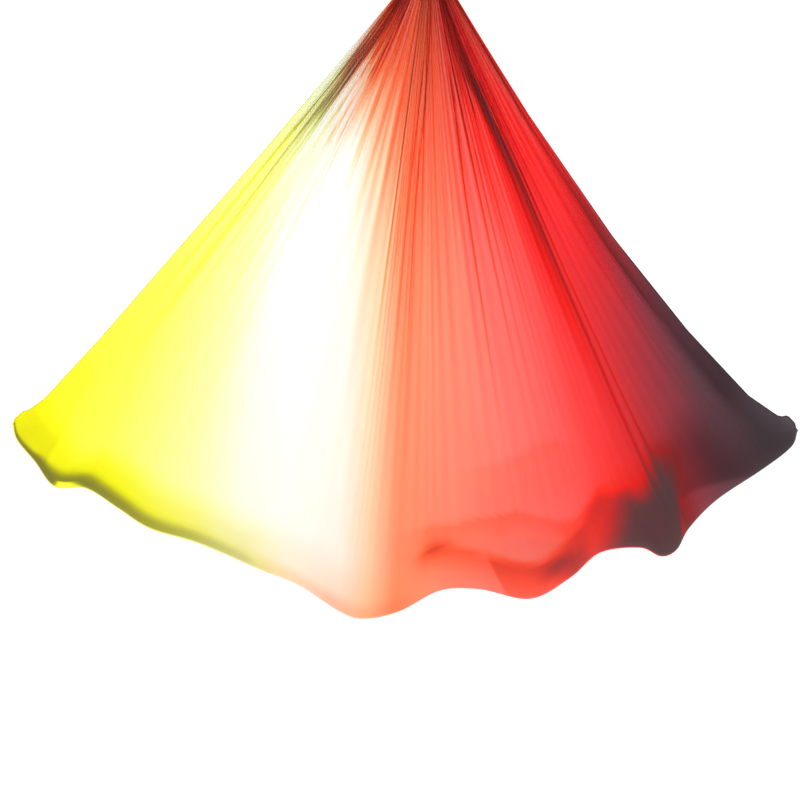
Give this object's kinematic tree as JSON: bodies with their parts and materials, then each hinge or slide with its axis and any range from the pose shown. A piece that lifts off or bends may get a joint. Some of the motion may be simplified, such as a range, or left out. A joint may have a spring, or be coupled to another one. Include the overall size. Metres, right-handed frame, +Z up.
{
  "type": "aerial yoga hammock",
  "caption": "Wide dyed stretch-cloth loop hung by two locking carabiners from a ball-bearing swivel and a ceiling clevis plate.",
  "frame": {"origin": "centre of the ceiling plate's upper face", "axes": "+Z up, +X to the hammock's right seen from the front, -Y towards the front layer of cloth"},
  "size_m": [2.3977, 0.362, 2.2709],
  "materials": {
    "zinc_plated_steel": "zinc plated, satin",
    "hardened_steel": "ground",
    "gate_steel": "polished",
    "black_anodised_aluminium": "black anodised, satin",
    "polished_aluminium": "polished",
    "bronze": "machined",
    "rubber_seal": "matt",
    "dyed_tricot": "knitted stretch tricot, dyed in a yellow, white, coral, red and charcoal gradient"
  },
  "bodies": {
    "ceiling_mount": {"ceiling_plate": "zinc_plated_steel", "clevis_pin": "zinc_plated_steel", "pin_retaining_ring": "hardened_steel"},
    "swivel_top": {"swivel_housing": "black_anodised_aluminium", "pin_bush": "bronze", "bearing_cap": "polished_aluminium", "dust_seal": "rubber_seal", "lower_race": "hardened_steel", "ball_1": "hardened_steel", "ball_2": "hardened_steel", "ball_3": "hardened_steel", "ball_4": "hardened_steel", "ball_5": "hardened_steel", "ball_6": "hardened_steel", "ball_7": "hardened_steel", "ball_8": "hardened_steel"},
    "swivel_bottom": {"upper_race": "hardened_steel", "axle_nut": "hardened_steel", "axle_bolt": "hardened_steel", "swivel_bow": "polished_aluminium"},
    "hammock": {"front_carabiner": "zinc_plated_steel", "back_carabiner": "zinc_plated_steel", "front_nose": "hardened_steel", "back_nose": "hardened_steel", "front_gate_pin": "hardened_steel", "back_gate_pin": "hardened_steel", "hammock_cloth": "dyed_tricot", "front_end_wrap": "dyed_tricot", "back_end_wrap": "dyed_tricot", "front_choke": "dyed_tricot", "back_choke": "dyed_tricot"},
    "front_gate_arm": {"front_gate": "gate_steel", "front_gate_plunger": "hardened_steel", "front_gate_spring": "hardened_steel"},
    "back_gate_arm": {"back_gate": "gate_steel", "back_gate_plunger": "hardened_steel", "back_gate_spring": "hardened_steel"},
    "front_lock": {"front_sleeve": "black_anodised_aluminium"},
    "back_lock": {"back_sleeve": "black_anodised_aluminium"}
  },
  "joints": [
    {"name": "swing", "type": "hinge", "parent": "ceiling_mount", "child": "swivel_top", "pos_m": [0, 0, -0.034], "axis": [1, 0, 0], "range_deg": [-45, 45]},
    {"name": "swivel_spin", "type": "hinge", "parent": "swivel_top", "child": "swivel_bottom", "pos_m": [0, 0, -0.1], "axis": [0, 0, 1], "continuous": true},
    {"name": "sway", "type": "hinge", "parent": "swivel_bottom", "child": "hammock", "pos_m": [0, 0, -0.1389], "axis": [0, 1, 0], "range_deg": [-30, 30]},
    {"name": "front_gate_open", "type": "hinge", "parent": "hammock", "child": "front_gate_arm", "pos_m": [0.0207, -0.017, -0.148], "axis": [0, 1, 0], "range_deg": [0, 26], "stiffness_Nm_per_rad": 0.15, "springref_deg": -17.19},
    {"name": "back_gate_open", "type": "hinge", "parent": "hammock", "child": "back_gate_arm", "pos_m": [-0.0207, 0.017, -0.148], "axis": [0, -1, 0], "range_deg": [0, 26], "stiffness_Nm_per_rad": 0.15, "springref_deg": -17.19},
    {"name": "front_sleeve_lock", "type": "slide", "parent": "front_gate_arm", "child": "front_lock", "axis": [0.2, 0, -0.9798], "range_m": [0, 0.008]},
    {"name": "back_sleeve_lock", "type": "slide", "parent": "back_gate_arm", "child": "back_lock", "axis": [-0.2, 0, -0.9798], "range_m": [0, 0.008]}
  ]
}
